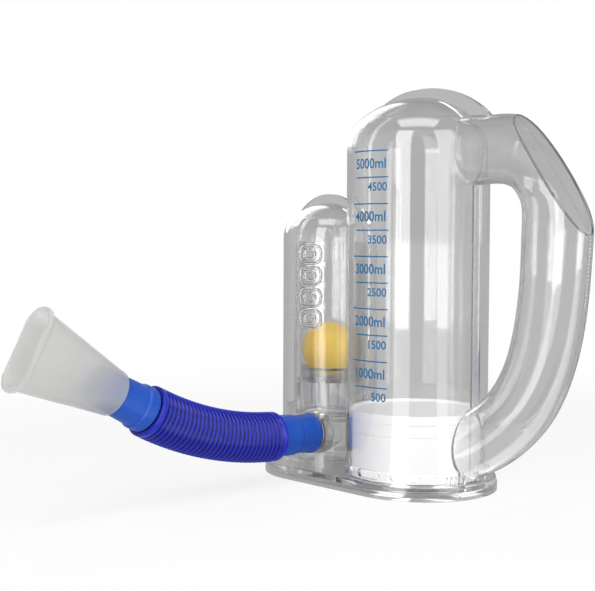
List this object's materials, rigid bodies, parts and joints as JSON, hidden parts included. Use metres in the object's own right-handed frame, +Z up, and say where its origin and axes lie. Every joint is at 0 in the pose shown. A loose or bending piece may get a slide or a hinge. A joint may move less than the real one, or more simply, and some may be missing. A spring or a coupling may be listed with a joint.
{
  "type": "incentive spirometer",
  "caption": "Clear two-chamber incentive spirometer with a white volume piston, yellow flow ball, hollow side handle, base, corrugated hose and oval mouthpiece.",
  "frame": {"origin": "where the volume chamber's axis meets the resting plane, on the underside of the base tray", "axes": "+Z up, +X towards the handle, -Y towards the hose and mouthpiece; the two clear half shells meet on the plane Y = 0"},
  "size_m": [0.2364, 0.289, 0.2396],
  "materials": {
    "clear_shell": "clear moulded polystyrene, polished",
    "clear_base": "clear moulded polystyrene, polished",
    "clear_inner": "clear moulded polystyrene, polished",
    "piston": "satin white moulded polypropylene",
    "ball": "gloss yellow",
    "cuff": "satin mid blue soft plastic",
    "hose": "glossy dark blue polyethylene",
    "mouthpiece": "frosted translucent white polypropylene"
  },
  "bodies": {
    "housing": {"front_shell": "clear_shell", "rear_shell": "clear_shell", "base_tray": "clear_base", "chamber_floor": "clear_inner", "flow_tube": "clear_inner", "ball_seat": "clear_inner", "hose_spigot": "clear_inner"},
    "piston": {"volume_piston": "piston"},
    "ball": {"flow_ball": "ball"},
    "hose": {"hose_cuff": "cuff", "corrugated_hose": "hose"},
    "mouth_end": {"mouth_cuff": "cuff"},
    "mouthpiece": {"mouthpiece": "mouthpiece"}
  },
  "joints": [
    {"name": "piston_rise", "type": "slide", "parent": "housing", "child": "piston", "axis": [0, 0, 1], "range_m": [0, 0.155]},
    {"name": "ball_rise", "type": "slide", "parent": "housing", "child": "ball", "axis": [0, 0, 1], "range_m": [0, 0.073]},
    {"name": "hose_swivel", "type": "hinge", "parent": "housing", "child": "hose", "pos_m": [-0.063, -0.03, 0.0275], "axis": [0, -0.9993, 0.0384], "range_deg": [-90, 90]},
    {"name": "hose_bend", "type": "hinge", "parent": "hose", "child": "mouth_end", "pos_m": [-0.063, -0.10973, 0.03602], "axis": [-1, 0, 0], "range_deg": [-25, 40], "deforming": ["corrugated_hose"]},
    {"name": "mouthpiece_turn", "type": "hinge", "parent": "mouth_end", "child": "mouthpiece", "pos_m": [-0.063, -0.1825, 0.06775], "axis": [0, -0.887, 0.4617], "range_deg": [-90, 90]}
  ]
}
